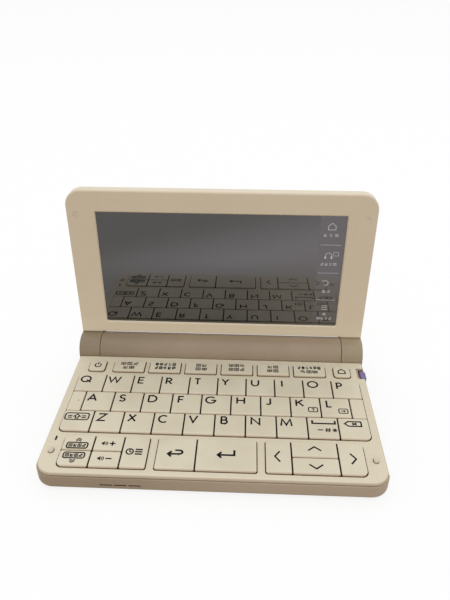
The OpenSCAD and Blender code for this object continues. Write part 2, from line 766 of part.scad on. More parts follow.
// Rounds the lower edge between the knuckles: radius r, at height z, side 1 for outer and -1 for inner
module lower_edge_cut(r, z, side) {
    half = barrel_half + knuckle_gap;
    difference() {
        translate([-half, -lid_start - r, side > 0 ? z - r : z - 1]) cube([2 * half, r + 1, r + 1]);
        translate([0, -lid_start - r, z - side * r]) x_bar(-half - 1, half + 1, 2 * r);
    }
}

module lid_cover() {
    z0 = lid_rise + bezel_t;
    inner_w = lid_w / 2 - lid_wall;
    color(cream) on_lid() {
        difference() {
            lid_body();
            lid_cut(lid_start);
            translate([-body_w, -lid_len - 1, -10]) cube([2 * body_w, lid_len + 2, 10 + z0]);
            translate([0, 0, z0 - 1])
                slab([-inner_w, inner_w, -lid_len + lid_wall, -lid_start - lid_wall],
                     lid_t - bezel_t - lid_back_t + 1, all_r(lid_corner_r - lid_wall), 1.2);
            lower_edge_cut(1.6, lid_rise + lid_t, 1);
            for (s = [0, 1]) mirror([s, 0, 0]) arm(0.15);
        }
        for (x = [-1, 1], v = [34, lid_len - 8]) translate([x * (lid_w / 2 - 6.8), -v, z0])
            cylinder(h = lid_t - bezel_t - lid_back_t + bit, d = 4);
    }
}

module lid_bezel() {
    half = screen_w / 2;
    rim_w = half + glass_lap + 0.2;
    color(cream) on_lid() difference() {
        union() {
            intersection() {
                lid_body();
                translate([-body_w, -lid_len - 1, 0])
                    cube([2 * body_w, lid_len + 1 - lid_start, lid_rise + bezel_t]);
            }
            // Frame that locates the glass
            translate([0, 0, lid_rise + bezel_t - bit]) difference() {
                slab([-rim_w - 1, rim_w + 1, -screen_v1 - glass_lap - 1.2, -screen_v0 + glass_lap + 1.2],
                     glass_t, all_r(1));
                translate([-rim_w, -screen_v1 - glass_lap - 0.2, -1])
                    cube([2 * rim_w, screen_v1 - screen_v0 + 2 * glass_lap + 0.4, glass_t + 2]);
            }
        }
        translate([0, 0, lid_rise - 1])
            slab([-half, half, -screen_v1, -screen_v0], 5, [0.3, 0.3, 1, 1]);
        screen_bevels();
        lower_edge_cut(0.55, lid_rise, -1);
        // Marks that the lid stops close into
        for (s = [-1, 1]) translate([s * stop_x, -stop_y - hinge_y, lid_rise - 0.7]) lid_stop(0.25, 1);
    }
}

// Small chamfer along the four sides of the screen opening
module screen_bevels() {
    half = screen_w / 2;
    b = screen_bevel * sqrt(2);
    h = screen_v1 - screen_v0;
    for (s = [-1, 1]) {
        translate([s * half, -screen_v0 + 0.1, lid_rise]) rotate([90, 0, 0]) linear_extrude(h + 0.2)
            rotate(45) square(b, center = true);
    }
    for (v = [screen_v0, screen_v1]) {
        translate([-half - 0.1, -v, lid_rise]) rotate([90, 0, 90]) linear_extrude(2 * half + 0.2)
            rotate(45) square(b, center = true);
    }
}

module display() {
    half = screen_w / 2 + glass_lap;
    z = lid_rise + bezel_t;
    color(charcoal) on_lid() {
        translate([0, 0, z])
            slab([-half, half, -screen_v1 - glass_lap, -screen_v0 + glass_lap], glass_t, all_r(0.5));
        translate([0, 0, z + glass_t + 0.05])
            slab([-half + 1, half - 1, -screen_v1 - glass_lap + 0.5, -screen_v0 + glass_lap - 0.5],
                 panel_t, all_r(0.5));
    }
}

// Arm that carries a knuckle inside the lid, g larger on every side
module arm(g) {
    x0 = barrel_half + knuckle_gap + 1.6;
    translate([x0 - g, -lid_start - 15 - g, lid_rise + bezel_t + 0.2 - g])
        cube([6.4 + 2 * g, 15 + 2 * g, lid_t - bezel_t - lid_back_t - 0.4 + 2 * g]);
}

module hinge_knuckles() {
    x0 = barrel_half + knuckle_gap;
    end_edge = 0.8;
    color(brown) on_lid() for (s = [0, 1]) mirror([s, 0, 0]) {
        translate([x0, 0, 0]) rotate([0, 90, 0]) rotate_extrude()
            rim(barrel_r, body_w / 2 - 0.1 - x0, end_edge, 0.2);
        intersection() {
            lid_body();
            translate([x0, -lid_start + 0.1, 0]) cube([knuckle_w + 1, lid_start - 0.1, 20]);
        }
        translate([0, 0.2, 0]) arm(0);
        x_bar(x0 - knuckle_gap - journal_l, x0 + 1, journal_d);
    }
}

// One key: a cap with a rounded top edge that slopes down at the front, and a plunger under it
module key(k) {
    g = key_gap / 2;
    p = k[1];
    slope_y = p[2] + g[1] + key_slope[0];
    color(cream) {
        difference() {
            translate([0, 0, cap_z])
                slab([p[0] + g[0], p[1] - g[0], p[2] + g[1], p[3] - g[1]], cap_h, k[2], key_edge_r);
            translate([p[0], slope_y, face_z]) rotate([atan(key_slope[1] / key_slope[0]), 0, 0])
                translate([0, -2 * key_slope[0], 0]) cube([p[1] - p[0], 2 * key_slope[0], 1]);
        }
        translate([(p[0] + p[1]) / 2, (p[2] + p[3]) / 2, cap_z - plunger_h])
            cylinder(h = plunger_h + bit, d = 4);
    }
}

lower_case();
upper_case();
battery_cover();
batteries();
main_board();
key_mat();
stylus();
rubber_pads();
hinge_knuckles();
lid_cover();
lid_bezel();
display();
for (k = keys) key(k);
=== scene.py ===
# Pocket electronic dictionary, open on a pale table: finishes, prints, screws, light and camera
import math

import bmesh
import bpy
from mathutils import Matrix, Vector


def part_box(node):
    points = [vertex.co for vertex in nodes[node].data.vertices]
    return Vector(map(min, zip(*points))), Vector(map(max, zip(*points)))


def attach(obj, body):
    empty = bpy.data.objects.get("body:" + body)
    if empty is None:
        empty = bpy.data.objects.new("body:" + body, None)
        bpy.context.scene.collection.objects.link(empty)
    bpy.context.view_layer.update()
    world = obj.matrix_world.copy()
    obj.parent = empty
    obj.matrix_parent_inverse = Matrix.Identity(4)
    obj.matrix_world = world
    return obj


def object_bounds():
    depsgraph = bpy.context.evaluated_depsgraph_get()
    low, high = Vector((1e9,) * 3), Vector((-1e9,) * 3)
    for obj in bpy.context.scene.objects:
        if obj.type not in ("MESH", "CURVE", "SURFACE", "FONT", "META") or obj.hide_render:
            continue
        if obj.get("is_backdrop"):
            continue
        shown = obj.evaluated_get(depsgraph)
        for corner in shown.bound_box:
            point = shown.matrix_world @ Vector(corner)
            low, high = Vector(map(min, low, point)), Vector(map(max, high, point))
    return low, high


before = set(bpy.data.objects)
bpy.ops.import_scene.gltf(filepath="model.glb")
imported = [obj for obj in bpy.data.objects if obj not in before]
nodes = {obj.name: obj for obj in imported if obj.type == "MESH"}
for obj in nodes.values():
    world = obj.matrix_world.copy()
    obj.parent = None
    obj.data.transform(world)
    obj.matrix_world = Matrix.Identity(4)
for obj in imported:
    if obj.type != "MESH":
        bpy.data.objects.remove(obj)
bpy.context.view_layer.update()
MM = 0.001

# Places on the object, in millimetres: x to the right, y to the back, z up from the table
RIGHT, BACK, UP = Vector((1, 0, 0)), Vector((0, 1, 0)), Vector((0, 0, 1))
HINGE = Vector((0, 38.7, 9.1))
BARREL_RADIUS = 8.65
LID_OPEN = math.radians(92)
GLASS_FACE = 2.8
LEFT_SIDE = -74
CASE_BOTTOM = 0.6
TILE_TOP = 10.5
KEY_SEAM = (0.6, 0.4)
TOP_ROW_Y = 22.2
STRIP_EDGE = 47.4
STRIP_LINE = (48.2, 58.2)
STRIP_X = 53.9
SCREWS = [
    (-67.1, -41.75), (67.1, -41.75), (-25.52, -36.25),
    (20.75, -36.25), (-55.83, 23.45), (55.83, 23.45),
]


# Colours and nodes
def srgb(red, green, blue):
    """Linear colour of a colour given in screen values from 0 to 255."""
    def linear(value):
        value /= 255
        return value / 12.92 if value <= 0.04045 else ((value + 0.055) / 1.055) ** 2.4
    return (linear(red), linear(green), linear(blue), 1)


class Signal:
    """An output socket in a finish; arithmetic on it adds Math nodes."""

    def __init__(self, finish, socket):
        self.finish = finish
        self.socket = socket

    def maths(self, operation, first, second):
        return self.finish.node("ShaderNodeMath", {"operation": operation}, {0: first, 1: second})

    def __add__(self, other):
        return self.maths("ADD", self, other)

    def __radd__(self, other):
        return self.maths("ADD", other, self)

    def __sub__(self, other):
        return self.maths("SUBTRACT", self, other)

    def __rsub__(self, other):
        return self.maths("SUBTRACT", other, self)

    def __mul__(self, other):
        return self.maths("MULTIPLY", self, other)

    def __rmul__(self, other):
        return self.maths("MULTIPLY", other, self)

    def above(self, edge):
        return self.maths("GREATER_THAN", self, edge)

    def below(self, edge):
        return self.maths("LESS_THAN", self, edge)

    def size(self):
        """Distance from zero."""
        return self.maths("ABSOLUTE", self, 0.0)

    def most(self, other):
        return self.maths("MAXIMUM", self, other)

    def rise(self, low, high):
        """0 below low, 1 above high, smooth between."""
        settings = {"interpolation_type": "SMOOTHSTEP", "clamp": True}
        return self.finish.node("ShaderNodeMapRange", settings, {0: self, 1: low, 2: high, 3: 0.0, 4: 1.0})

    def fall(self, low, high):
        """1 below low, 0 above high, smooth between."""
        return 1 - self.rise(low, high)


class Finish:
    """One material, with its nodes."""

    def __init__(self, name, store=bpy.data.materials):
        self.material = store.new(name)
        self.material.use_nodes = True
        self.tree = self.material.node_tree
        self.tree.nodes.clear()

    def node(self, kind, settings=None, sockets=None, output=0):
        """Adds a node: its settings first, then the values or links of its sockets."""
        made = self.tree.nodes.new(kind)
        for name, value in (settings or {}).items():
            setattr(made, name, value)
        for key, value in (sockets or {}).items():
            if isinstance(value, Signal):
                self.tree.links.new(value.socket, made.inputs[key])
            else:
                made.inputs[key].default_value = value
        return Signal(self, made.outputs[output]) if made.outputs else None

    def place(self):
        """Position on the object in millimetres."""
        where = self.node("ShaderNodeTexCoord", output=3)
        return self.node("ShaderNodeVectorMath", {"operation": "SCALE"}, {0: where, 3: 1000.0})

    def axes(self, vector):
        """The three coordinates of a vector."""
        split = self.node("ShaderNodeSeparateXYZ", None, {0: vector}).socket.node
        return [Signal(self, output) for output in split.outputs]

    def stretched(self, vector, factors):
        return self.node("ShaderNodeVectorMath", {"operation": "MULTIPLY"}, {0: vector, 1: factors})

    def noise(self, vector, scale, detail=2.0, rough=0.5):
        sockets = {"Vector": vector, "Scale": scale, "Detail": detail, "Roughness": rough}
        return self.node("ShaderNodeTexNoise", None, sockets)

    def cells(self, vector, scale, feature="F1"):
        return self.node("ShaderNodeTexVoronoi", {"feature": feature}, {"Vector": vector, "Scale": scale})

    def mix(self, share, first, second):
        """Colour that goes from first to second as share goes from 0 to 1."""
        return self.node("ShaderNodeMix", {"data_type": "RGBA"}, {0: share, 6: first, 7: second}, 2)

    def bump(self, height, depth, strength):
        """Relief of the given depth in millimetres."""
        sockets = {"Strength": strength, "Distance": depth * MM, "Height": height}
        return self.node("ShaderNodeBump", None, sockets)

    def surface(self, **sockets):
        """Ends the finish in its shader; underscores stand for the spaces in a socket's name."""
        named = {key.replace("_", " "): value for key, value in sockets.items()}
        shader = self.node("ShaderNodeBsdfPrincipled", None, named)
        self.node("ShaderNodeOutputMaterial", None, {"Surface": shader})
        return self.material


# Painted light and shade on the moulded parts: each takes a place's three coordinates and gives shares with
# their colours
# Painted shade: the dark brown that stands for shade deep in the seams and gaps
SEAM_PAINTED_SHADE = srgb(86, 47, 12)


def deck_painted_shade(x, y, z):
    """Painted shade: dark in the key windows, a shade low on the deck's sides and a darker one in the groove
    round it.
    """
    deep = z.fall(9.2, 9.62)
    windows = x.size().below(70.0) * y.above(-46.5)
    groove = z.fall(8.2, 8.5)
    return [
        (deep * windows * 0.95, SEAM_PAINTED_SHADE),
        (deep * (1 - windows) * 0.45, srgb(150, 118, 90)),
        (groove * (1 - windows) * 0.6, srgb(112, 82, 54)),
    ]


def speaker_slit_painted_shade(x, y, z):
    """Painted shade inside the speaker slits, in the left half of the front wall."""
    middle_x, middle_z, half_length, half_height = -37.4, 3.9, 9.0, 0.33
    band = (x - middle_x).size().below(half_length) * (z - middle_z).size().below(half_height)
    slits = band * y.below(-40.0) * y.above(-48.6)
    return [(slits * 0.95, srgb(58, 34, 22))]


def case_painted_light_and_shade(x, y, z):
    """Painted light and shade: a front wall painted paler to the right, a barrel painted darker at its left,
    and painted shade in the slits.
    """
    # Painted light on the front wall, stronger to the right
    front = x.rise(-50, 20) * y.fall(-45, -15)
    return [(front * 0.7, srgb(188, 170, 148))] + barrel_painted_shade(x, y, z) + speaker_slit_painted_shade(x, y, z)


def barrel_painted_shade(x, y, z):
    """Painted shade: the barrel is painted darker towards its left end."""
    return [(x.fall(-78, -10) * y.rise(18, 34) * 0.45, srgb(104, 88, 70))]


def bezel_painted_bounce_light(x, y, z):
    """Painted light: the frame round the screen is painted lighter towards the hinge, where light bounces up
    from the deck.
    """
    return [(z.fall(8, 62) * 0.6, srgb(229, 214, 186)), (z.fall(14, 30) * 0.75, srgb(240, 226, 198))]


# Finishes
def moulded(name, colour, shade, grain_depth=0.012, rough=0.42, streaks=0.0, marks=None):
    """Satin moulded plastic: spark grain, faint flow clouds, dust, handling polish, lighter streaks, and the
    part's painted light and shade, made matt where it is painted seam shade.
    """
    f = Finish(name)
    at = f.place()
    clouds = f.noise(at, 0.035, 3.0, 0.55)
    mottle = f.noise(at, 0.6, 2.0, 0.6)
    grain = f.noise(at, 5.5, 3.0, 0.65)
    tone = f.mix(clouds.rise(0.3, 0.75) * 0.55, colour, shade)
    tone = f.mix(mottle.rise(0.3, 0.8) * 0.3, tone, shade)
    specks = f.cells(at, 0.42).below(0.05) * f.noise(at, 0.2).above(0.56)
    tone = f.mix(specks * 0.35, tone, srgb(120, 106, 88))
    polish = f.noise(at, 0.09, 2.0).rise(0.4, 0.7)
    roughness = rough - 0.07 * polish + 0.06 * mottle
    if streaks:
        # Lighter streaks along x: flow lines in the plastic and painted highlight bands
        lines = f.noise(f.stretched(at, (0.012, 1.1, 1.1)), 1.0, 3.0, 0.6).rise(0.3, 0.7)
        tone = f.mix(lines * streaks, tone, srgb(180, 164, 140))
        roughness = roughness + 0.08 * lines
    if marks:
        for share, painted_colour in marks(*f.axes(at)):
            tone = f.mix(share, tone, painted_colour)
            # Painted seam shade is made matt as well
            if painted_colour == SEAM_PAINTED_SHADE:
                roughness = roughness + share * 0.5
    relief = f.bump(grain, grain_depth, 0.6)
    return f.surface(Base_Color=tone, Roughness=roughness, Normal=relief, IOR=1.49)


def key_finish():
    """Keycap plastic, silkier than the deck: rims rubbed by use, and painted shade low on the walls and round
    the top's edge.
    """
    f = Finish("key_plastic_satin")
    at = f.place()
    own = f.node("ShaderNodeTexCoord", output=0)
    across, along, _ = f.axes(own)
    z = f.axes(at)[2]
    rim = (across - 0.5).size().most((along - 0.5).size()).rise(0.43, 0.5)
    # Painted shade is lighter on the walls that face the back and the front than on those at the sides
    facing, wall = f.axes(f.node("ShaderNodeNewGeometry", output=1))[1], 0.6
    back_wall = facing.above(wall) * z.rise(9.3, 9.8)
    front_wall = facing.below(-wall) * z.rise(9.55, 9.75)
    clouds = f.noise(at, 0.06, 3.0, 0.5)
    grain = f.noise(at, 7.0, 3.0, 0.6)
    tone = f.mix(clouds.rise(0.35, 0.7), srgb(220, 211, 188), srgb(213, 203, 180))
    tone = f.mix(rim * 0.25, tone, srgb(228, 219, 197))
    # Painted shade just below the key's top edge, lighter on back walls
    tone = f.mix(z.fall(10.2, 10.46) * (1 - back_wall) * 0.55, tone, srgb(150, 112, 70))
    # Painted shade deep in the gaps between keys
    deep = z.fall(9.7, 10.25) * (1 - 0.85 * back_wall) * (1 - 0.6 * front_wall)
    tone = f.mix(deep * 0.97, tone, SEAM_PAINTED_SHADE)
    thumb = f.noise(at, 0.16, 2.0).rise(0.45, 0.75)
    roughness = 0.4 - 0.08 * thumb - 0.06 * rim + 0.55 * deep
    relief = f.bump(grain, 0.006, 0.5)
    return f.surface(Base_Color=tone, Roughness=roughness, Normal=relief, IOR=1.49)


def ink_finish():
    """Pad-printed ink: almost black, slightly starved in places."""
    f = Finish("legend_ink")
    at = f.place()
    starved = f.noise(at, 1.7, 3.0, 0.6).rise(0.35, 0.8)
    tone = f.mix(starved, srgb(22, 20, 25), srgb(40, 36, 40))
    return f.surface(Base_Color=tone, Roughness=0.65 + 0.1 * starved, IOR=1.25, Specular_IOR_Level=0.1)


def screen_print_finish():
    """Pale print on the touch strip of the glass."""
    f = Finish("touch_strip_print")
    at = f.place()
    worn = f.noise(at, 1.2, 3.0).rise(0.3, 0.8)
    tone = f.mix(worn, srgb(210, 208, 210), srgb(188, 186, 188))
    return f.surface(Base_Color=tone, Roughness=0.3 + 0.1 * worn)


def glass_finish():
    """Touch glass over a dark display: deep gloss, faint smears, painted reflection on its upper part and
    lower right, a paler strip.
    """
    f = Finish("touch_glass")
    at = f.place()
    x, _, z = f.axes(at)
    strip = x.rise(STRIP_EDGE - 0.2, STRIP_EDGE + 0.2)
    smear = f.noise(f.stretched(at, (1.0, 1.0, 0.35)), 0.09, 4.0, 0.6).rise(0.42, 0.72)
    # Painted reflection: it grows to the right and down the lid and ends over the reflected keys; a warm
    # patch lower right is painted reflection too
    painted_reflection_haze = (x * 0.0088 - (z - 84) * 0.031 + 0.08).rise(0.0, 1.0) * z.rise(46, 64)
    painted_reflection_veil = x.rise(2, 46) * z.fall(50, 72)
    field = f.mix(painted_reflection_haze, srgb(6, 7, 17), srgb(86, 84, 95))
    field = f.mix(painted_reflection_veil * 0.6, field, srgb(72, 66, 64))
    tone = f.mix(strip * (0.3 + 0.7 * z.rise(34, 62)), field, srgb(80, 77, 87))
    tone = f.mix(smear * 0.08, tone, srgb(62, 60, 64))
    return f.surface(Base_Color=tone, Roughness=0.01 + 0.02 * smear, IOR=2.08)


def violet_finish():
    """Stylus plastic, glossier than the case."""
    f = Finish("violet_stylus_plastic")
    at = f.place()
    flow = f.noise(f.stretched(at, (1.0, 0.15, 1.0)), 0.8, 3.0).rise(0.3, 0.7)
    scuffs = f.noise(f.stretched(at, (0.6, 4.0, 4.0)), 1.4, 3.0).rise(0.55, 0.75)
    tone = f.mix(flow, srgb(128, 116, 160), srgb(110, 99, 143))
    tone = f.mix(scuffs * 0.3, tone, srgb(158, 148, 182))
    relief = f.bump(scuffs, 0.01, 0.4)
    return f.surface(Base_Color=tone, Roughness=0.3 + 0.15 * scuffs, Normal=relief, IOR=1.49)


def pad_finish():
    """Soft pads: pinkish lid stops on the deck with painted shade round their foot, grey-brown feet under the
    case.
    """
    f = Finish("soft_pad_rubber")
    at = f.place()
    z = f.axes(at)[2]
    grain = f.noise(at, 4.0, 3.0, 0.6)
    stops = f.mix(grain.rise(0.3, 0.8), srgb(218, 206, 188), srgb(206, 193, 174))
    # Painted shade round the foot of the lid stops
    stops = f.mix(z.fall(9.75, 10.0) * 0.8, stops, SEAM_PAINTED_SHADE)
    feet = f.mix(grain.rise(0.3, 0.8), srgb(96, 86, 76), srgb(74, 66, 58))
    tone = f.mix(z.rise(3, 5), feet, stops)
    relief = f.bump(grain, 0.03, 0.5)
    return f.surface(Base_Color=tone, Roughness=0.6 + 0.15 * grain, Normal=relief, IOR=1.45)


def mat_finish():
    """Silicone key mat: dark brown, dustier in patches."""
    f = Finish("silicone_mat")
    at = f.place()
    dust = f.noise(at, 0.5, 3.0).rise(0.4, 0.8)
    tone = f.mix(dust, srgb(46, 34, 24), srgb(66, 52, 38))
    relief = f.bump(f.noise(at, 3.0, 2.0), 0.02, 0.5)
    return f.surface(Base_Color=tone, Roughness=0.8 + 0.1 * dust, Normal=relief, IOR=1.3)


def board_finish():
    """Circuit board: green mask over copper tracks, black parts below it, plated contacts, two sockets."""
    bottom, top, battery_bay = 3.55, 4.62, 29
    f = Finish("circuit_board_mask")
    at = f.place()
    x, y, z = f.axes(at)
    tracks = f.cells(f.stretched(at, (1.0, 0.35, 1.0)), 0.7, feature="DISTANCE_TO_EDGE").below(0.09)
    vias = f.cells(at, 0.9).below(0.12)
    mask = f.mix(tracks, srgb(28, 84, 52), srgb(44, 108, 66))
    mask = f.mix(vias, mask, srgb(190, 170, 110))
    parts = f.mix(f.noise(at, 2.0).rise(0.4, 0.7), srgb(26, 26, 28), srgb(38, 37, 39))
    tone = f.mix(z.below(bottom), mask, parts)
    earphone_socket = x.below(-62.6) * (y + 5.2).size().below(3.3)
    data_socket = x.below(-64.5) * z.above(top) * (1 - earphone_socket)
    metal = y.above(battery_bay).most(data_socket)
    tone = f.mix(metal, tone, srgb(196, 194, 188))
    tone = f.mix(earphone_socket, tone, srgb(34, 33, 34))
    relief = f.bump(tracks + vias, 0.03, 0.6)
    return f.surface(Base_Color=tone, Metallic=metal * 0.95, Roughness=0.42 - 0.12 * metal, Normal=relief)


def cell_finish():
    """Plain cells: a dark sleeve with one copper-coloured band, bare steel ends."""
    left_end, length = -49.3, 50.6
    f = Finish("battery_sleeve")
    at = f.place()
    x = f.axes(at)[0]
    along = f.node("ShaderNodeMath", {"operation": "PINGPONG"}, {0: x - left_end, 1: length})
    ends = along.below(0.8).most(along.above(length - 1.0))
    band = along.above(34)
    scuff = f.noise(f.stretched(at, (0.3, 3.0, 3.0)), 1.0, 4.0).rise(0.5, 0.75)
    sleeve = f.mix(band, srgb(44, 46, 52), srgb(178, 122, 78))
    sleeve = f.mix(scuff * 0.2, sleeve, srgb(150, 150, 150))
    tone = f.mix(ends, sleeve, srgb(198, 198, 196))
    return f.surface(Base_Color=tone, Metallic=ends * 0.9 + band * 0.1, Roughness=0.28 + 0.2 * scuff)


def plate_film():
    """Film of the bare rating plate under the case, faintly brushed."""
    f = Finish("rating_plate_film")
    at = f.place()
    brushed = f.noise(f.stretched(at, (0.05, 4.0, 1.0)), 1.0, 3.0).rise(0.3, 0.7)
    tone = f.mix(brushed, srgb(188, 182, 170), srgb(172, 166, 154))
    return f.surface(Base_Color=tone, Metallic=0.3, Roughness=0.4 + 0.12 * brushed)


def screw_finish():
    """Blackened steel with bright wear where the driver turns."""
    f = Finish("screw_steel")
    at = f.place()
    wear = f.noise(at, 2.4, 3.0).rise(0.45, 0.7)
    tone = f.mix(wear, srgb(58, 56, 54), srgb(132, 128, 122))
    return f.surface(Base_Color=tone, Metallic=0.9, Roughness=0.34 + 0.12 * wear)


deck_cream = moulded("deck_plastic_cream", srgb(221, 211, 187), srgb(216, 205, 180), marks=deck_painted_shade)
lid_cream = moulded("lid_plastic_cream", srgb(222, 211, 187), srgb(216, 204, 180), rough=0.38)
bezel_cream = moulded("bezel_plastic_cream", srgb(217, 201, 177), srgb(211, 194, 169), marks=bezel_painted_bounce_light)
case_brown = moulded("case_plastic_brown", srgb(163, 144, 122), srgb(150, 132, 109),
                     streaks=0.06, marks=case_painted_light_and_shade)
barrel_brown = moulded("barrel_plastic_brown", srgb(160, 144, 118), srgb(147, 131, 105),
                       grain_depth=0.01, rough=0.4, streaks=0.18, marks=barrel_painted_shade)
key_cream = key_finish()
ink = ink_finish()
pale_ink = screen_print_finish()

finishes = {
    "lower_case": case_brown,
    "upper_case": deck_cream,
    "battery_cover": barrel_brown,
    "batteries": cell_finish(),
    "main_board": board_finish(),
    "key_mat": mat_finish(),
    "stylus": violet_finish(),
    "rubber_pads": pad_finish(),
    "hinge_knuckles": barrel_brown,
    "lid_cover": lid_cream,
    "lid_bezel": bezel_cream,
    "display": glass_finish(),
}
for name, node in nodes.items():
    finish = finishes.get(name, key_cream)
    if node.material_slots:
        for slot in node.material_slots:
            slot.material = finish
    else:
        node.data.materials.append(finish)


# Outlines and prints, in millimetres and degrees
ARC_STEP = 12


def arc(cx, cy, rx, ry, start, end):
    """Points on an ellipse from one angle to another, in degrees."""
    steps = max(4, round(abs(end - start) / ARC_STEP))
    angles = [math.radians(start + (end - start) * i / steps) for i in range(steps + 1)]
    return [(cx + rx * math.cos(a), cy + ry * math.sin(a)) for a in angles]


def round_box(w, h, r, cx=0.0, cy=0.0):
    """Outline of a rounded rectangle."""
    points = []
    for turn, (sx, sy) in enumerate(((1, 1), (-1, 1), (-1, -1), (1, -1))):
        corner = (cx + sx * (w / 2 - r), cy + sy * (h / 2 - r))
        points += arc(*corner, r, r, 90 * turn, 90 * turn + 90)
    return points


class Print:
    """Ink on a face: strokes and filled shapes, one layer each, that are built as one thin mesh."""

    HEIGHT = 0.03
    LAYER = 0.0015
    ROOT = -0.02
    FLAT = 1e5
    SHARPEST_MITRE = 1 / 2.2

    def __init__(self):
        self.shapes = []

    def stroke(self, path, width, closed=False, shift=(0, 0)):
        """Band of the given width along a path, with mitred corners."""
        points = [Vector(p) + Vector(shift) for p in path]
        count = len(points)
        sides = []
        for i, point in enumerate(points):
            legs = []
            if i > 0 or closed:
                legs.append((point - points[i - 1]).normalized())
            if i < count - 1 or closed:
                legs.append((points[(i + 1) % count] - point).normalized())
            normals = [Vector((-leg.y, leg.x)) for leg in legs]
            middle = sum(normals, Vector((0, 0))).normalized()
            reach = 1 / max(middle.dot(normals[0]), self.SHARPEST_MITRE)
            sides.append((point + middle * reach * width / 2, point - middle * reach * width / 2))
        pairs = list(zip(sides, sides[1:] + sides[:1]))
        self.shapes.append(("strip", pairs if closed else pairs[:-1], closed))

    def fill(self, outline, shift=(0, 0)):
        self.shapes.append(("fill", [Vector(p) + Vector(shift) for p in outline], True))

    def build(self, name, origin, right, up, material, body, slot, radius=FLAT):
        """Lays the print on the face through origin, round by radius, and lets it ride on a body."""
        normal = right.cross(up)
        mesh = bmesh.new()

        def corner(p, h):
            angle = p.y / radius
            outward = normal * (h - (radius + h) * (1 - math.cos(angle)))
            place = origin + right * p.x + up * (radius + h) * math.sin(angle) + outward
            return mesh.verts.new(place * MM)

        def prism(outline, top):
            levels = [[corner(p, h) for p in outline] for h in (top, self.ROOT)]
            mesh.faces.new(levels[0])
            mesh.faces.new(levels[1][::-1])
            for i in range(len(outline)):
                j = (i + 1) % len(outline)
                mesh.faces.new((levels[0][i], levels[1][i], levels[1][j], levels[0][j]))

        for layer, (kind, parts, closed) in enumerate(self.shapes):
            top = self.HEIGHT + self.LAYER * layer
            if kind == "fill":
                prism(parts, top)
            else:
                ring = [a for a, b in parts] + ([] if closed else [parts[-1][1]])
                rows = [[corner(p, h) for h in (top, self.ROOT) for p in side] for side in ring]
                count = len(rows)
                for i in range(count if closed else count - 1):
                    a, b = rows[i], rows[(i + 1) % count]
                    for p, q in ((0, 1), (1, 3), (3, 2), (2, 0)):
                        mesh.faces.new((a[p], a[q], b[q], b[p]))
                if not closed:
                    mesh.faces.new((rows[0][0], rows[0][1], rows[0][3], rows[0][2]))
                    mesh.faces.new((rows[-1][0], rows[-1][2], rows[-1][3], rows[-1][1]))
        bmesh.ops.recalc_face_normals(mesh, faces=mesh.faces)
        finished(name, mesh, material, body)


def shown(name, data):
    """Puts a mesh, lamp or camera into the scene."""
    thing = bpy.data.objects.new(name, data)
    bpy.context.scene.collection.objects.link(thing)
    return thing


def solid(name, mesh):
    """Turns a bmesh into an object of the scene."""
    data = bpy.data.meshes.new(name)
    mesh.to_mesh(data)
    mesh.free()
    return shown(name, data)


def finished(name, mesh, material, body):
    """Turns a bmesh into a piece of the object."""
    piece = solid(name, mesh)
    piece.data.materials.append(material)
    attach(piece, body)
    return piece


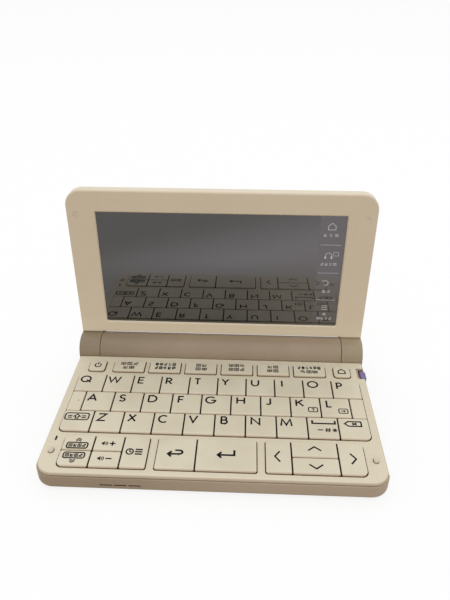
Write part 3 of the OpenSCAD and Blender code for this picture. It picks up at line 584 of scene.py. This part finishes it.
# Letters: width in millimetres and strokes in a unit box
letters = {
    "a": (4.7, [[(0, 0), (0.5, 1), (1, 0)], [(0.17, 0.32), (0.83, 0.32)]]),
    "b": (3.3, [[(0, 0), (0, 1), (0.5, 1)] + arc(0.5, 0.765, 0.38, 0.235, 90, -90) + [(0, 0.53)],
                [(0, 0), (0.56, 0)] + arc(0.56, 0.265, 0.44, 0.265, -90, 90)]),
    "c": (4.5, [arc(0.54, 0.5, 0.54, 0.5, 48, 312)]),
    "d": (4.4, [[(0, 0), (0, 1), (0.4, 1)] + arc(0.4, 0.5, 0.6, 0.5, 90, -90) + [(0, 0)]]),
    "e": (3.2, [[(1, 1), (0, 1), (0, 0), (1, 0)], [(0, 0.52), (0.92, 0.52)]]),
    "f": (3.0, [[(1, 1), (0, 1), (0, 0)], [(0, 0.5), (0.9, 0.5)]]),
    "g": (5.2, [arc(0.5, 0.5, 0.5, 0.5, 42, 352) + [(0.995, 0.47), (0.56, 0.47)]]),
    "h": (4.1, [[(0, 0), (0, 1)], [(1, 0), (1, 1)], [(0, 0.52), (1, 0.52)]]),
    "i": (0.62, [[(0.5, 0), (0.5, 1)]]),
    "j": (2.4, [[(1, 1), (1, 0.27)] + arc(0.46, 0.27, 0.54, 0.27, 0, -150)]),
    "k": (3.9, [[(0, 0), (0, 1)], [(0.95, 1), (0.02, 0.42)], [(0.32, 0.62), (1, 0)]]),
    "l": (2.8, [[(0, 1), (0, 0), (1, 0)]]),
    "m": (5.5, [[(0, 0), (0.12, 1), (0.5, 0.12), (0.88, 1), (1, 0)]]),
    "n": (4.4, [[(0, 0), (0, 1), (1, 0), (1, 1)]]),
    "o": (5.4, [arc(0.5, 0.5, 0.5, 0.5, 0, 348)]),
    "p": (3.0, [[(0, 0), (0, 1), (0.5, 1)] + arc(0.5, 0.74, 0.5, 0.26, 90, -90) + [(0, 0.48)]]),
    "q": (5.7, [arc(0.46, 0.5, 0.46, 0.5, 0, 348), [(0.56, 0.34), (1, -0.04)]]),
    "r": (3.3, [[(0, 0), (0, 1), (0.45, 1)] + arc(0.45, 0.74, 0.45, 0.26, 90, -90) + [(0, 0.48)],
                [(0.42, 0.48), (1, 0)]]),
    "s": (3.1, [arc(0.5, 0.745, 0.46, 0.255, 25, 270) + arc(0.5, 0.245, 0.5, 0.245, 90, -155)[1:]]),
    "t": (3.5, [[(0, 1), (1, 1)], [(0.5, 1), (0.5, 0)]]),
    "u": (4.0, [[(0, 1), (0, 0.38)] + arc(0.5, 0.38, 0.5, 0.38, 180, 360)[1:] + [(1, 1)]]),
    "v": (4.3, [[(0, 1), (0.5, 0), (1, 1)]]),
    "w": (6.6, [[(0, 1), (0.26, 0), (0.5, 0.92), (0.74, 0), (1, 1)]]),
    "x": (4.0, [[(0, 0), (0.98, 1)], [(0.02, 1), (1, 0)]]),
    "y": (3.9, [[(0, 1), (0.5, 0.48), (1, 1)], [(0.5, 0.48), (0.5, 0)]]),
    "z": (4.2, [[(0, 1), (1, 1), (0, 0), (1, 0)]]),
}
closed_letters = "oq"
CAP_HEIGHT = 5.1
CAP_STROKE = 0.84
INK_SPREAD = 0.15
# Middle of each letter, in millimetres from the left and back seams of its key
letter_places = dict(
    q=(4.4, 4.35), w=(4.55, 4.15), e=(3.88, 4.2), r=(3.8, 4.2), t=(3.95, 3.95),
    y=(3.7, 3.85), u=(4.39, 3.85), i=(3.64, 3.8), o=(4.72, 3.75), p=(3.7, 4.35),
    a=(3.8, 4.45), s=(4.2, 4.2), d=(4.6, 4.1), f=(4.15, 4.1), g=(4.3, 3.85),
    h=(4.55, 3.6), j=(3.7, 3.6), k=(4.4, 4.0), l=(4.1, 4.05),
    z=(4.1, 4.15), x=(4.0, 4.0), c=(4.3, 4.1), v=(4.1, 3.6), b=(4.25, 3.75), n=(4.5, 3.75), m=(4.5, 3.95),
)
# Middle of the boxed pictogram below a letter, from the same seams
pictogram_places = dict(k=(10.3, 8.3), l=(10.3, 8.75))


def glyph(pad, strokes, w, h, stroke, cx, cy, ring=False):
    """Draws strokes of a unit box inside a box of w by h about (cx, cy); ring closes the first."""
    for index, path in enumerate(strokes):
        scaled = [(cx + (x - 0.5) * (w - stroke), cy + (y - 0.5) * (h - stroke)) for x, y in path]
        pad.stroke(scaled, stroke, closed=ring and index == 0)


# Pictograms: strokes in a unit box, and their usual widths in millimetres
FINE = 0.38
ICON = 0.6
circle = arc(0.5, 0.5, 0.5, 0.5, 0, 360)
frame_box = [(0, 0), (0, 1), (1, 1), (1, 0), (-0.08, 0)]
pictures = {
    "book": [[(0, 0.95), (0.5, 0.8), (1, 0.95), (1, 0.12), (0.5, 0), (0, 0.12), (0, 1.0)],
             [(0.5, 0.8), (0.5, 0)], [(0.12, 0.55), (0.4, 0.45)], [(0.6, 0.45), (0.88, 0.55)]],
    "globe": [circle, arc(0.5, 0.5, 0.2, 0.5, 90, 450), [(0, 0.5), (1, 0.5)]],
    "lens": [arc(0.4, 0.6, 0.38, 0.38, 0, 360), [(0.66, 0.34), (1, 0)], [(0.4, 0.5), (0.4, 0.72)]],
    "note": [frame_box, [(0.2, 0.68), (0.8, 0.68)], [(0.2, 0.34), (0.8, 0.34)]],
    "bubble": [[(0, 0.3), (0, 1), (1, 1), (1, 0.3), (0.55, 0.3), (0.25, 0), (0.25, 0.3), (-0.08, 0.3)],
               [(0.22, 0.65), (0.78, 0.65)]],
    "shelf": [[(0, 0), (1, 0)], [(0.1, 0), (0.1, 1)], [(0.4, 0), (0.4, 0.9)], [(0.68, 0), (0.95, 0.95)],
              [(0, 0.55), (0.5, 0.55)]],
    "pen": [[(0, 0), (0.12, 0.36), (0.74, 1), (1, 0.74), (0.36, 0.12), (0, 0)], [(0.5, 0), (1, 0)]],
    "grid": [frame_box, [(0.5, 0), (0.5, 1)], [(0, 0.5), (1, 0.5)]],
    "sum": [[(0, 0.8), (0.42, 0.8)], [(0.21, 0.6), (0.21, 1)], [(0.58, 0.8), (1, 0.8)],
            [(0, 0.25), (1, 0.25)], [(0.3, 0.02), (0.7, 0.02)]],
}


def picture_row(pad, names, step, w, h, stroke, cx, cy):
    """Row of pictograms of w by h, a step apart, about (cx, cy)."""
    names = names.split()
    for i, name in enumerate(names):
        glyph(pad, pictures[name], w, h, stroke, cx + (i - (len(names) - 1) / 2) * step, cy)


def chevron(pad, w, h, turn, stroke, cy=0.0):
    """Open arrowhead; turn 0 points up, and w is its span across."""
    spin = Matrix.Rotation(math.radians(turn), 2)
    points = [spin @ Vector(p) + Vector((0, cy)) for p in ((-w / 2, -h / 2), (0, h / 2), (w / 2, -h / 2))]
    pad.stroke(points, stroke)


def house(pad, w, h, stroke, cx=0.0, cy=0.0):
    """Outline of a house: walls and a pointed roof."""
    outline = [(-w / 2, -h / 2), (-w / 2, 0.05 * h), (0, h / 2), (w / 2, 0.05 * h), (w / 2, -h / 2)]
    pad.stroke(outline, stroke, True, (cx, cy))


def speaker(pad, cx):
    """Loudspeaker with two sound waves."""
    cone = [(-1.5, -0.5), (-1.0, -0.5), (-0.2, -1.3), (-0.2, 1.3), (-1.0, 0.5), (-1.5, 0.5)]
    pad.fill(cone, (cx, 0))
    for reach in (0.75, 1.45):
        pad.stroke(arc(-0.35, 0, reach, reach * 0.85, -55, 55), FINE, False, (cx, 0))


def left_head(pad, x, y, reach, stroke):
    """Arrowhead that points left, its tip at (x, y)."""
    pad.stroke([(x + reach, y + reach), (x, y), (x + reach, y - reach)], stroke)


def hook_arrow(pad, w, h, stroke):
    """Arrow that starts at the top, turns over on the right and points left."""
    y = -h * 0.1
    bend = arc(w * 0.2, h * 0.15, w * 0.24, h * 0.25, -90, 90)
    pad.stroke([(-w / 2, y), (w * 0.2, y)] + bend + [(-w * 0.05, h * 0.4)], stroke)
    left_head(pad, -w / 2, y, h * 0.36, stroke)


def corner_arrow(pad, w, h, stroke):
    """Arrow that comes down and turns left."""
    y = -h * 0.12
    pad.stroke([(w / 2, h / 2), (w / 2, y), (-w / 2, y)], stroke)
    left_head(pad, -w / 2, y, h * 0.34, stroke)


def lay(pad, key, x, y):
    """Prints on a key's top, with the print's middle at (x, y) on the deck."""
    low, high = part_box("key_" + key)
    origin = Vector((x, y, high.z / MM))
    pad.build("legend_" + key, origin, RIGHT, BACK, ink, "key_" + key, "key_plastic")


# Letter keys
for key, (width, strokes) in letters.items():
    low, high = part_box("key_" + key)
    left = low.x / MM - KEY_SEAM[0] / 2
    back = high.y / MM + KEY_SEAM[1] / 2
    pad = Print()
    across, drop = letter_places[key]
    glyph(pad, strokes, width + INK_SPREAD, CAP_HEIGHT, CAP_STROKE, 0, 0, key in closed_letters)
    if key in pictogram_places:
        icon = (pictogram_places[key][0] - across, drop - pictogram_places[key][1])
        pad.stroke(round_box(4.1, 2.9, 0.6), 0.5, True, icon)
        if key == "k":
            pad.stroke(arc(0, 0.35, 0.5, 0.4, 170, -70) + [(0, -0.35)], 0.42, False, icon)
            pad.stroke([(0, -0.6), (0, -0.95)], 0.42, False, icon)
        else:
            pad.stroke([(-1.1, 0), (0.9, 0)], 0.42, False, icon)
            pad.fill([(0.1, 0.8), (1.3, 0), (0.1, -0.8)], icon)
    lay(pad, key, left + across, back - drop)

# Wide keys of the top row: two lines of pictograms each, given by their middle, width and pictograms
PICTURE_GAP, PICTURE_WIDTH, PICTURE_HEIGHT = 0.45, 2.55, 2.25
list_labels = [
    [(-45.9, 23.45, 9.4, "book note pen"), (-46.0, 20.4, 6.2, "shelf grid")],
    [(-27.4, 23.6, 10.9, "globe book pen sum note"), (-27.4, 20.7, 10.9, "pen grid lens shelf bubble")],
    [(-9.0, 23.6, 5.9, "note shelf"), (-9.0, 20.6, 6.2, "grid book")],
    [(9.0, 24.1, 8.4, "book grid lens"), (9.0, 21.0, 8.4, "grid note pen")],
    [(27.35, 23.8, 6.0, "shelf note"), (27.3, 20.75, 6.2, "book grid")],
    [(45.75, 23.8, 12.0, "pen globe sum lens bubble grid"), (45.5, 20.7, 9.0, "lens note book")],
]
for i, lines in enumerate(list_labels):
    key = "list_%d" % (i + 1)
    low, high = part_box("key_" + key)
    middle_x = (low.x + high.x) / 2 / MM
    pad = Print()
    for x, y, width, row in lines:
        step = width / len(row.split())
        wide = min(step - PICTURE_GAP, PICTURE_WIDTH)
        picture_row(pad, row, step, wide, PICTURE_HEIGHT, FINE, x - middle_x, y - TOP_ROW_Y)
    lay(pad, key, middle_x, TOP_ROW_Y)

# Power and home
pad = Print()
pad.stroke(arc(0, -0.25, 1.5, 1.5, 125, 415), ICON)
pad.stroke([(0, 0.1), (0, 2.1)], ICON)
lay(pad, "power", -61.9, 21.85)

pad = Print()
house(pad, 3.4, 3.4, ICON)
lay(pad, "home", 61.9, 21.75)

# Shift: a boxed arrow between bars
pad = Print()
pad.stroke(round_box(10.8, 4.2, 1.1), ICON, True)
pad.stroke([(-0.6, -1.2), (-0.6, 0), (-1.5, 0), (0, 1.4), (1.5, 0), (0.6, 0), (0.6, -1.2)], 0.55, True)
for side in (-1, 1):
    for y in (-0.75, 0.35):
        pad.stroke([(side * 2.2, y), (side * 4.2, y)], ICON)
lay(pad, "shift", -63.0, -15.9)

# Space: a tray, with a dash, a hash and a star below it
pad = Print()
pad.stroke([(-5.1, 1.1), (-5.1, -0.8), (5.1, -0.8), (5.1, 1.1)], 0.85)
pad.stroke([(-3.0, -4.8), (-0.6, -4.8)], ICON)
for x in (1.0, 2.1):
    pad.stroke([(x - 0.2, -6.0), (x + 0.2, -3.6)], 0.45)
for y in (-4.35, -5.25):
    pad.stroke([(0.3, y), (2.8, y)], 0.45)
for spoke in (0, 60, 120):
    a = math.radians(spoke)
    dx, dy = 1.15 * math.cos(a), 1.15 * math.sin(a)
    pad.stroke([(4.6 - dx, -4.8 - dy), (4.6 + dx, -4.8 + dy)], 0.48)
lay(pad, "space", 49.1, -15.0)

# Delete: a cross in a tag that points left
pad = Print()
pad.stroke([(-3.8, 0), (-2.2, 1.45), (3.6, 1.45), (3.6, -1.45), (-2.2, -1.45)], 0.7, True)
for side in (-1, 1):
    pad.stroke([(-0.4, -side * 0.7), (1.6, side * 0.7)], 0.65)
lay(pad, "delete", 62.3, -15.5)

# Page keys: double chevrons beyond a boxed list
for key, side, y in (("page_up", 1, -33.45), ("page_down", -1, -39.1)):
    pad = Print()
    pad.stroke(round_box(9.0, 3.1, 0.9), 0.62, True)
    picture_row(pad, "note shelf grid pen", 1.95, 1.7, 1.85, 0.34, 0, 0)
    for step in (2.65, 3.6):
        chevron(pad, 2.3, 0.8, 0 if side > 0 else 180, 0.45, side * step)
    lay(pad, key, -58.35, y)

# Volume keys: a speaker beside a plus or a minus
for key, y in (("volume_up", -31.9), ("volume_down", -40.4)):
    pad = Print()
    speaker(pad, -1.2)
    pad.stroke([(0.75, 0), (3.35, 0)], 0.62)
    if key == "volume_up":
        pad.stroke([(2.05, -1.3), (2.05, 1.3)], 0.62)
    lay(pad, key, -45.35, y)

# History: a clock beside three lines
pad = Print()
pad.stroke(arc(-2.0, 0, 1.5, 1.5, 0, 348), 0.62, True)
pad.stroke([(-2.0, 1.1), (-2.0, 0), (-1.2, -0.4)], 0.55)
for y in (1.3, 0, -1.3):
    pad.stroke([(0.3, y), (3.4, y)], 0.75)
lay(pad, "history", -33.1, -36.1)

# Back, enter and the four arrows
pad = Print()
hook_arrow(pad, 6.5, 4.2, 0.92)
lay(pad, "back", -15.5, -36.2)

pad = Print()
corner_arrow(pad, 7.0, 4.6, 0.95)
lay(pad, "enter", 5.9, -35.8)

for key, w, h, heading, x, y in (
    ("left", 5.8, 2.15, 90, 27.6, -36.1), ("up", 5.6, 2.2, 0, 43.6, -31.15),
    ("down", 5.75, 2.25, 180, 43.55, -41.05), ("right", 5.8, 2.25, 270, 59.5, -36.2),
):
    pad = Print()
    chevron(pad, w, h, heading, 0.72)
    lay(pad, key, x, y)


# Touch strip on the glass
def lid_frame():
    """Origin on the glass above the hinge axis, and the direction up the lid."""
    up = Vector((0, -math.cos(LID_OPEN), math.sin(LID_OPEN)))
    inward = Vector((0, -math.sin(LID_OPEN), -math.cos(LID_OPEN)))
    return HINGE - inward * GLASS_FACE, up


glass_origin, lid_up = lid_frame()
strip = Print()
for v in (61.4, 46.2, 30.8):
    strip.stroke([(u, v) for u in STRIP_LINE], 0.18)
# Home, earphones with a speech bubble, a curved arrow and three lines, from the top down
house(strip, 3.6, 3.4, 0.3, STRIP_X - 0.9, 71.0)
strip.stroke(arc(0, 0, 1.5, 1.6, 200, -20), 0.25, False, (STRIP_X - 1.3, 55.6))
for side in (-1, 1):
    strip.fill(round_box(0.8, 1.4, 0.3, STRIP_X - 1.3 + side * 1.5, 54.7))
strip.stroke(round_box(2.6, 1.9, 0.5, STRIP_X + 2.2, 56.6), 0.22, True)
strip.stroke(arc(0, 0, 1.5, 1.3, -100, 130), 0.32, False, (STRIP_X - 1.6, 40.6))
strip.stroke([(-1.6, 1.7), (-0.9, 1.0), (0.1, 1.3)], 0.32, False, (STRIP_X - 1.6, 40.6))
for v in (27.4, 26.3, 25.2):
    strip.stroke([(STRIP_X - 2.25, v), (STRIP_X + 0.75, v)], 0.27)
# Lines of small pictograms, given by their middle, step and pictograms
strip_labels = [
    (-1.1, 66.5, 2.7, "shelf sum note"), (-1.0, 51.1, 2.1, "pen shelf sum note"),
    (-0.8, 35.8, 2.4, "grid pen"), (-0.6, 22.4, 2.2, "grid"), (-0.4, 19.9, 2.0, "note shelf sum pen"),
]
for x, v, step, row in strip_labels:
    picture_row(strip, row, step, 1.5, 1.4, 0.2, STRIP_X + x, v)
strip.build("touch_strip_icons", glass_origin, RIGHT, lid_up, pale_ink, "lid", "display_glass")

# Speck on the left blank tile
speck = Print()
speck.fill(arc(0, 0, 0.28, 0.28, 0, 330))
speck.build("tile_speck", Vector((-65.1, -5.2, TILE_TOP)), RIGHT, BACK, ink, "base", "cream_plastic")

# Earphones and two opposed arrows beside the sockets in the left side
symbols = Print()
symbols.stroke(arc(0.7, 0, 1.0, 1.1, 200, -20), 0.28)
for side in (-1, 1):
    symbols.fill(round_box(0.5, 0.9, 0.2, 0.7 + side * 1.0, -0.55))
for y, heading in ((1.25, 1), (0.35, -1)):
    symbols.stroke([(23.1, y), (25.3, y)], 0.24)
    tip = 24.2 + heading * 1.1
    symbols.stroke([(tip - heading * 0.5, y + 0.4), (tip, y), (tip - heading * 0.5, y - 0.4)], 0.24)
symbols.build("socket_symbols", Vector((LEFT_SIDE, 0, 4.9)), -BACK, UP, ink, "base", "brown_plastic")

# Arrow and grip lines round the battery door, about a line that is tilted up from the level
tilt = math.radians(18)
outward = Vector((0, math.cos(tilt), math.sin(tilt)))
door_up = Vector((0, -math.sin(tilt), math.cos(tilt)))
door_place = HINGE + outward * BARREL_RADIUS
arrow = Print()
arrow.stroke([(-1.5, 0.9), (0, -0.6), (1.5, 0.9)], 0.4)
for drop in (1.5, 2.2, 2.9):
    arrow.stroke([(-2.4, -drop), (2.4, -drop)], 0.3)
arrow.build("battery_door_arrow", door_place, -RIGHT, door_up, ink, "battery_door", "brown_plastic",
            BARREL_RADIUS)

# Bare rating plate under the case
plate = Print()
plate.fill(round_box(46, 20, 1.5))
plate_place = Vector((0, -10, CASE_BOTTOM))
plate.build("rating_plate", plate_place, RIGHT, -BACK, plate_film(), "base", "brown_plastic")


# Screws in the bottom recesses
steel = screw_finish()


def screw(name, x, y, turn):
    """Countersunk cross-head screw, head down; its profile is radius and height."""
    profile = [(0.0, 1.15), (1.15, 1.2), (1.5, 1.32), (1.62, 1.5), (1.62, 1.75), (1.1, 2.15), (0.0, 2.15)]
    cross_bottom, cross_top, cross_taper = 0.9, 1.75, 0.5
    mesh = bmesh.new()
    steps = 40
    rings = []
    for r, z in profile:
        if r == 0:
            rings.append([mesh.verts.new((x * MM, y * MM, z * MM))])
            continue
        rings.append([
            mesh.verts.new(((x + r * math.cos(2 * math.pi * i / steps)) * MM,
                            (y + r * math.sin(2 * math.pi * i / steps)) * MM, z * MM))
            for i in range(steps)
        ])
    for a, b in zip(rings, rings[1:]):
        for i in range(steps):
            j = (i + 1) % steps
            corners = [a[i % len(a)], a[j % len(a)], b[j % len(b)], b[i % len(b)]]
            mesh.faces.new(list(dict.fromkeys(corners)))
    bmesh.ops.recalc_face_normals(mesh, faces=mesh.faces)
    piece = finished(name, mesh, steel, "base")
    cross = bmesh.new()
    arm = [(0.95, 0.2), (0.2, 0.2), (0.2, 0.95), (-0.2, 0.95), (-0.2, 0.2), (-0.95, 0.2),
           (-0.95, -0.2), (-0.2, -0.2), (-0.2, -0.95), (0.2, -0.95), (0.2, -0.2), (0.95, -0.2)]
    spin = Matrix.Rotation(turn, 2)
    levels = []
    for z, share in ((cross_bottom, 1.0), (cross_top, cross_taper)):
        ring = [spin @ (Vector(p) * share) + Vector((x, y)) for p in arm]
        levels.append([cross.verts.new((p.x * MM, p.y * MM, z * MM)) for p in ring])
    cross.faces.new(levels[0])
    cross.faces.new(levels[1])
    for i in range(len(arm)):
        j = (i + 1) % len(arm)
        cross.faces.new((levels[0][i], levels[0][j], levels[1][j], levels[1][i]))
    bmesh.ops.recalc_face_normals(cross, faces=cross.faces)
    tool = solid("screw_cross", cross)
    cut = piece.modifiers.new("cross", "BOOLEAN")
    cut.object = tool
    cut.solver = "EXACT"
    bpy.context.view_layer.update()
    baked = bpy.data.meshes.new_from_object(piece.evaluated_get(bpy.context.evaluated_depsgraph_get()))
    piece.modifiers.clear()
    piece.data = baked
    bpy.data.objects.remove(tool)


for index, (x, y) in enumerate(SCREWS):
    screw("case_screw_%d" % (index + 1), x, y, 0.5 * index)


# Table, light and camera
WHITE = (1, 1, 1, 1)


def camera_rays(f):
    """1 for rays straight from the camera, else 0."""
    return f.node("ShaderNodeLightPath", output=0)


def gloss_rays(f):
    """1 for rays mirrored in a glossy surface, else 0."""
    return f.node("ShaderNodeLightPath", output=3)


def table(whiteness, gloss_share):
    """Table that keeps the object's shadow: white to the camera, in part to the gloss, darker to the rest."""
    plane = bmesh.new()
    bmesh.ops.create_grid(plane, x_segments=1, y_segments=1, size=4)
    top = solid("table_top", plane)
    f = Finish("table_white")
    seen = camera_rays(f).most(gloss_rays(f) * gloss_share)
    wood = f.node("ShaderNodeBsdfDiffuse", None, {"Color": srgb(194, 184, 172)})
    paper = f.node("ShaderNodeBsdfDiffuse", None, {"Color": (0.97, 0.97, 0.97, 1)})
    bright = f.node("ShaderNodeEmission", None, {"Color": WHITE, "Strength": 1.0})
    white = f.node("ShaderNodeMixShader", None, {0: whiteness, 1: paper, 2: bright})
    surface = f.node("ShaderNodeMixShader", None, {0: seen, 1: wood, 2: white})
    f.node("ShaderNodeOutputMaterial", None, {"Surface": surface})
    top.data.materials.append(f.material)
    top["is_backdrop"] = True


def sky(strength, seen_strength):
    """Soft even light of one strength, seen by the camera and in the gloss at another."""
    f = Finish("studio", bpy.data.worlds)
    seen = camera_rays(f).most(gloss_rays(f))
    level = strength + seen * (seen_strength - strength)
    light = f.node("ShaderNodeBackground", None, {"Color": WHITE, "Strength": level})
    f.node("ShaderNodeOutputWorld", None, {"Surface": light})
    bpy.context.scene.world = f.material


def softbox(name, place, target, size, power, colour):
    """Square lamp at a place in metres, turned to a target."""
    data = bpy.data.lights.new(name, "AREA")
    data.shape = "SQUARE"
    data.size = size
    data.energy = power
    data.color = colour
    lamp = shown(name, data)
    lamp.location = place
    lamp.rotation_mode = "QUATERNION"
    lamp.rotation_quaternion = (Vector(target) - Vector(place)).to_track_quat("-Z", "Y")


def photo_camera(place, pitch, yaw, roll, lens):
    """Camera at the photograph's viewpoint: place in metres, angles in degrees."""
    eye = bpy.data.cameras.new("photo_eye")
    eye.sensor_fit = "VERTICAL"
    eye.sensor_height = 36
    eye.lens = lens
    eye.clip_start = 0.01
    pitch, yaw, roll = math.radians(pitch), math.radians(yaw), math.radians(roll)
    level = math.cos(pitch)
    forward = Vector((math.sin(yaw) * level, math.cos(yaw) * level, math.sin(pitch)))
    right = Vector((math.cos(yaw), -math.sin(yaw), 0))
    over = right.cross(forward)
    rolled_right = right * math.cos(roll) + over * math.sin(roll)
    rolled_over = over * math.cos(roll) - right * math.sin(roll)
    turn = Matrix((rolled_right, rolled_over, -forward)).transposed()
    camera = shown("photo_eye", eye)
    camera.location = place
    camera.rotation_mode = "QUATERNION"
    camera.rotation_quaternion = turn.to_quaternion()
    return camera


table(whiteness=0.84, gloss_share=0.4)
sky(strength=0.86, seen_strength=0.975)
softbox("overhead_softbox", place=(0.12, 0.05, 1.2), target=(0.12, 0.05, 0), size=1.5, power=3.4,
        colour=(1.0, 0.985, 0.96))
camera = photo_camera(place=(0.0123, -0.20777, 0.19524), pitch=-32.05, yaw=-2.32, roll=0.11, lens=34.55)
bpy.context.scene.camera = camera
bpy.context.scene.view_settings.view_transform = "Standard"

low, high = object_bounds()
